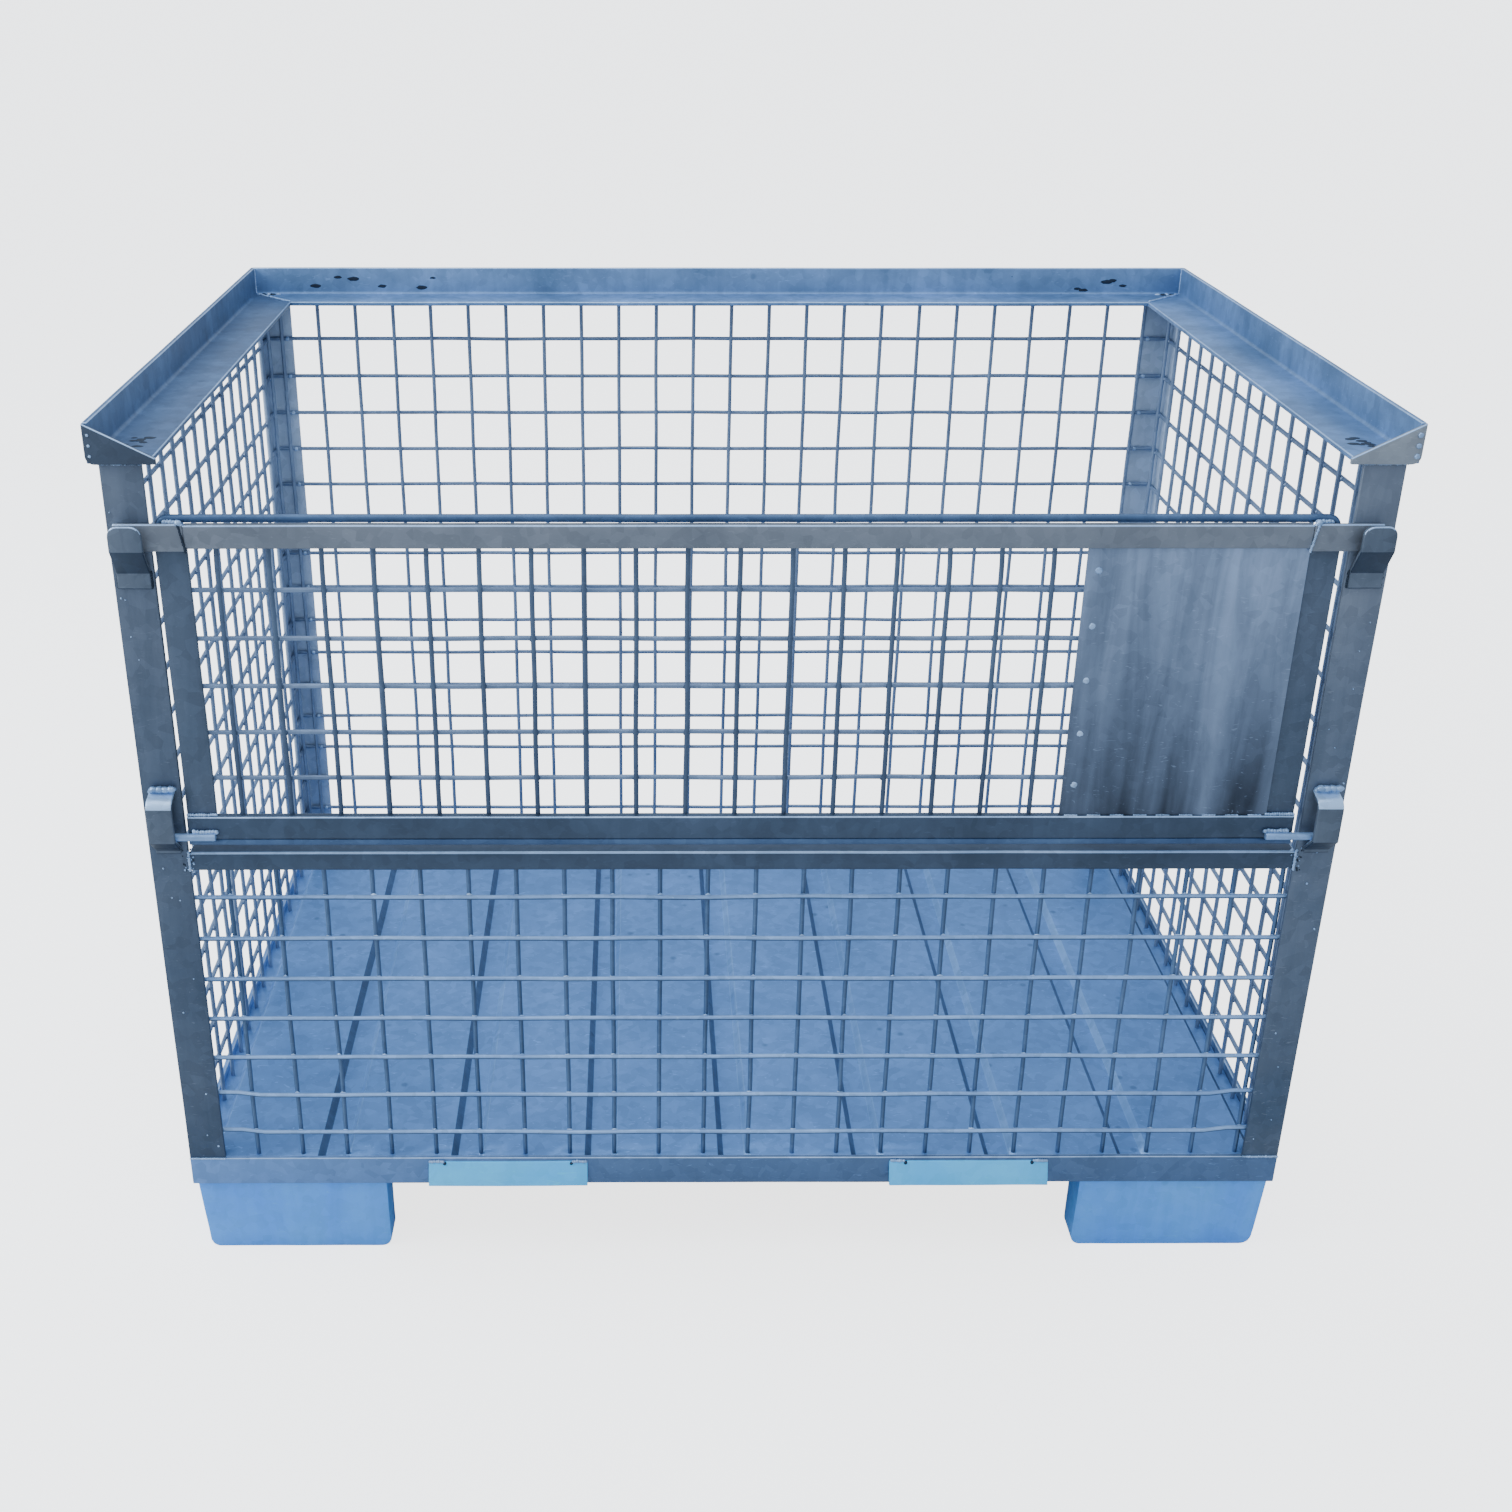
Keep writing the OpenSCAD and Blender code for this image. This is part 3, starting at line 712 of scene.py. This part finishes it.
def rim_welds(bm, side_name, sign, seed):
    """Mitred back corner, front end plate, dark patches on the rim, and wire ends on the rear post."""
    lo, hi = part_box("rim_rear")
    corner = lo.x if sign < 0 else hi.x
    outer_end = (corner - sign * 0.008, hi.y - 0.008, SEAM_Z)
    inner_end = (corner - sign * 0.058, hi.y - 0.058, SEAM_Z)
    bead(bm, outer_end, inner_end, 0.0017, 29 + seed)
    for i in range(5):
        spot = (corner - sign * (0.010 + 0.006 * i), hi.y - 0.008 - 0.003 * (i % 2), SEAM_Z)
        blob(bm, spot, 0.0032, i + seed, (1.3, 1, 0.6), index=i % 2)
    inside_x, inside_y = corner - sign * STEEL_T, hi.y - STEEL_T
    bead(bm, (inside_x, inside_y, SEAM_Z), (inside_x, inside_y, hi.z - 0.002), 0.0014, 31 + seed)
    lo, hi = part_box("rim_end_plate_" + side_name)
    outer = lo.x if sign < 0 else hi.x
    drop = 0.0026 if sign > 0 else 0.0014
    for i in range(3):
        spot = (outer - sign * 0.005, lo.y - 0.0002, lo.z + 0.008 + 0.010 * i)
        blob(bm, spot, drop, i + seed, (1, 0.5, 1))
    lo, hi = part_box("rim_" + side_name)
    outer = lo.x if sign < 0 else hi.x
    leg_w = hi.x - lo.x
    spread = random.Random(60 + seed)
    for i in range(9):
        across = outer - sign * leg_w * spread.uniform(0.35, 0.72)
        spot = (across, lo.y + spread.uniform(0.035, 0.085), RIM_LOW + STEEL_T)
        blob(bm, spot, spread.uniform(0.002, 0.004), i, (1.6, 1.2, 0.08), index=DARK_MARK)
    for i in range(6):
        x = corner - sign * spread.uniform(0.06, 0.26)
        spot = (x, inside_y, RIM_LOW + spread.uniform(0.010, 0.028))
        blob(bm, spot, spread.uniform(0.002, 0.004), i, (2.4, 0.08, 0.9), index=DARK_MARK)
    lo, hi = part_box("post_rear_" + side_name)
    inner = sign * min(abs(lo.x), abs(hi.x))
    for wire in wires_of("mesh_rear"):
        if wire.run == 0:
            blob(bm, (inner + sign * 0.006, wire.low.y + 0.001, wire.middle.z), 0.0028, wire.middle.z * 40)


def frame_welds(bm):
    """All the welds of the frame, left and right, with the tacks of the sloping plates."""
    for number, (side_name, sign) in enumerate(SIDES):
        post_welds(bm, side_name, sign, number)
        clip_welds(bm, side_name, sign, number)
        rim_welds(bm, side_name, sign, number)
        lo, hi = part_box("fork_guide_" + side_name)
        for x, way in ((lo.x, 1), (hi.x, -1)):
            y = FACE - 0.0015
            bead(bm, (x + way * 0.002, y, hi.z), (x + way * 0.016, y, hi.z), 0.0020, 37 + x)
            blob(bm, (x + way * 0.018, FACE - 0.002, hi.z - 0.002), 0.0022, x * 9, index=DARK_MARK)


def gate_welds(bm):
    """Beads on the gate: seams of the lugs, feet of the side bars, lower edge of the label plate."""
    beads_below = 9
    for number, (side_name, sign) in enumerate(SIDES):
        lo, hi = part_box("gate_lug_" + side_name)
        inner = hi.x if sign < 0 else lo.x
        kind = DARK_MARK if sign < 0 else BRIGHT
        seam_x = inner + sign * 0.004
        seam_low = (inner - sign * 0.001, GATE_FACE - 0.0002, lo.z)
        bead(bm, (seam_x, GATE_FACE - 0.0002, hi.z), seam_low, 0.0013, 51 + number, kind)
        top = hi.z + 0.0005
        blob(bm, (seam_x, GATE_FACE + 0.002, top), 0.0034, 3 + number)
        rod_end = (inner + sign * 0.018, GATE_FACE + 0.007, top)
        bead(bm, (seam_x, GATE_FACE + 0.006, top), rod_end, 0.0024, 55 + number)
        lo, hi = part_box("gate_side_bar_" + side_name)
        foot_y, foot_z = lo.y - 0.0012, lo.z + 0.0006
        bead(bm, (lo.x + 0.001, foot_y, foot_z), (hi.x - 0.001, foot_y, foot_z), 0.0020, 61 + number)
    lo, hi = PLATE
    for i in range(beads_below):
        x = lo.x + (hi.x - lo.x) * (i + 0.5) / beads_below
        bead(bm, (x - 0.006, lo.y - 0.0004, lo.z), (x + 0.006, lo.y - 0.0004, lo.z), 0.0011, 71 + i)


def pin_welds(bm):
    """The bead that holds each hinge pin to the gate's bottom rail."""
    for number, (side_name, sign) in enumerate(SIDES):
        lo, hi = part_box("hinge_pin_" + side_name)
        start = hi.x if sign < 0 else lo.x
        y, z = GATE_FACE - 0.002, hi.z + 0.0008
        bead(bm, (start, y, z), (start + sign * 0.022, y, z), 0.0026, 81 + number)


weld_piece("frame_welds", "root", frame_welds)
weld_piece("gate_welds", BODY["gate_mesh"], gate_welds)
weld_piece("pin_welds", BODY["hinge_pin_left"], pin_welds)


# ---------------------------------------------------------------- stage, light and camera

PAPER_GLOW = 2.6
FLOOR_REACH = 80


def paper():
    """Pale studio paper, which the camera sees a little brighter than it lights the steel."""
    made = bpy.data.materials.new("studio_paper")
    made.use_nodes = True
    made.node_tree.nodes.clear()
    s = Shader(made.node_tree)
    matt = s.node("ShaderNodeBsdfPrincipled")
    matt.inputs["Base Color"].default_value = (0.62, 0.63, 0.64, 1)
    matt.inputs["Roughness"].default_value = 0.9
    glow = s.node("ShaderNodeEmission")
    glow.inputs["Strength"].default_value = PAPER_GLOW
    both = s.node("ShaderNodeAddShader")
    s.link(matt.outputs[0], both.inputs[0])
    s.link(glow.outputs[0], both.inputs[1])
    choice = s.node("ShaderNodeMixShader")
    s.link(s.node("ShaderNodeLightPath").outputs["Is Camera Ray"], choice.inputs[0])
    s.link(matt.outputs[0], choice.inputs[1])
    s.link(both.outputs[0], choice.inputs[2])
    s.link(choice.outputs[0], s.node("ShaderNodeOutputMaterial").inputs["Surface"])
    return made


def stage():
    bm = bmesh.new()
    bmesh.ops.create_grid(bm, x_segments=2, y_segments=2, size=FLOOR_REACH)
    mesh = bpy.data.meshes.new("studio_floor")
    bm.to_mesh(mesh)
    bm.free()
    mesh.materials.append(paper())
    floor = bpy.data.objects.new("studio_floor", mesh)
    floor.location.z = CAD_BOX[0][2]
    bpy.context.scene.collection.objects.link(floor)


def light(name, place, aim, size, power, colour):
    lamp = bpy.data.lights.new(name, "AREA")
    lamp.shape = "RECTANGLE"
    lamp.size, lamp.size_y = size
    lamp.energy = power
    lamp.color = colour
    made = bpy.data.objects.new(name, lamp)
    made.location = place
    made.rotation_euler = (Vector(aim) - Vector(place)).to_track_quat("-Z", "Y").to_euler()
    bpy.context.scene.collection.objects.link(made)


def world():
    """Soft light all round, cooler and brighter from above."""
    made = bpy.data.worlds.new("studio")
    bpy.context.scene.world = made
    made.use_nodes = True
    s = Shader(made.node_tree)
    split = s.node("ShaderNodeSeparateXYZ")
    s.link(s.node("ShaderNodeTexCoord").outputs["Generated"], split.inputs[0])
    sky = s.mix(s.ramp(split.outputs[2], -0.05, 0.55), (0.62, 0.66, 0.70, 1), (0.82, 0.98, 1.20, 1))
    background = made.node_tree.nodes["Background"]
    s.link(sky, background.inputs[0])
    background.inputs[1].default_value = 1.0


def camera():
    """A full view from the front, from above the rim and looking down on the floor."""
    look_down, roll, turn = 0.4463, -0.0013, -0.0050
    lens = bpy.data.cameras.new("camera")
    lens.sensor_width = 36
    lens.lens = 42.991905
    lens.shift_x = 0.073214
    lens.shift_y = 0.016071
    lens.clip_start = 0.05
    made = bpy.data.objects.new("camera", lens)
    made.location = (-0.1100, -2.0379, 1.3903)
    made.rotation_euler = (math.pi / 2 - look_down, roll, turn)
    bpy.context.scene.collection.objects.link(made)
    bpy.context.scene.camera = made


stage()
SOFT_WHITE = (0.88, 0.95, 1.0)
BOX_MIDDLE = (0, 0, 0.4)
light("top_softbox", (-0.4, -0.4, 3.6), BOX_MIDDLE, (3.0, 3.0), 45, SOFT_WHITE)
light("left_softbox", (-3.4, -0.6, 2.2), BOX_MIDDLE, (2.4, 2.4), 110, SOFT_WHITE)
world()
camera()
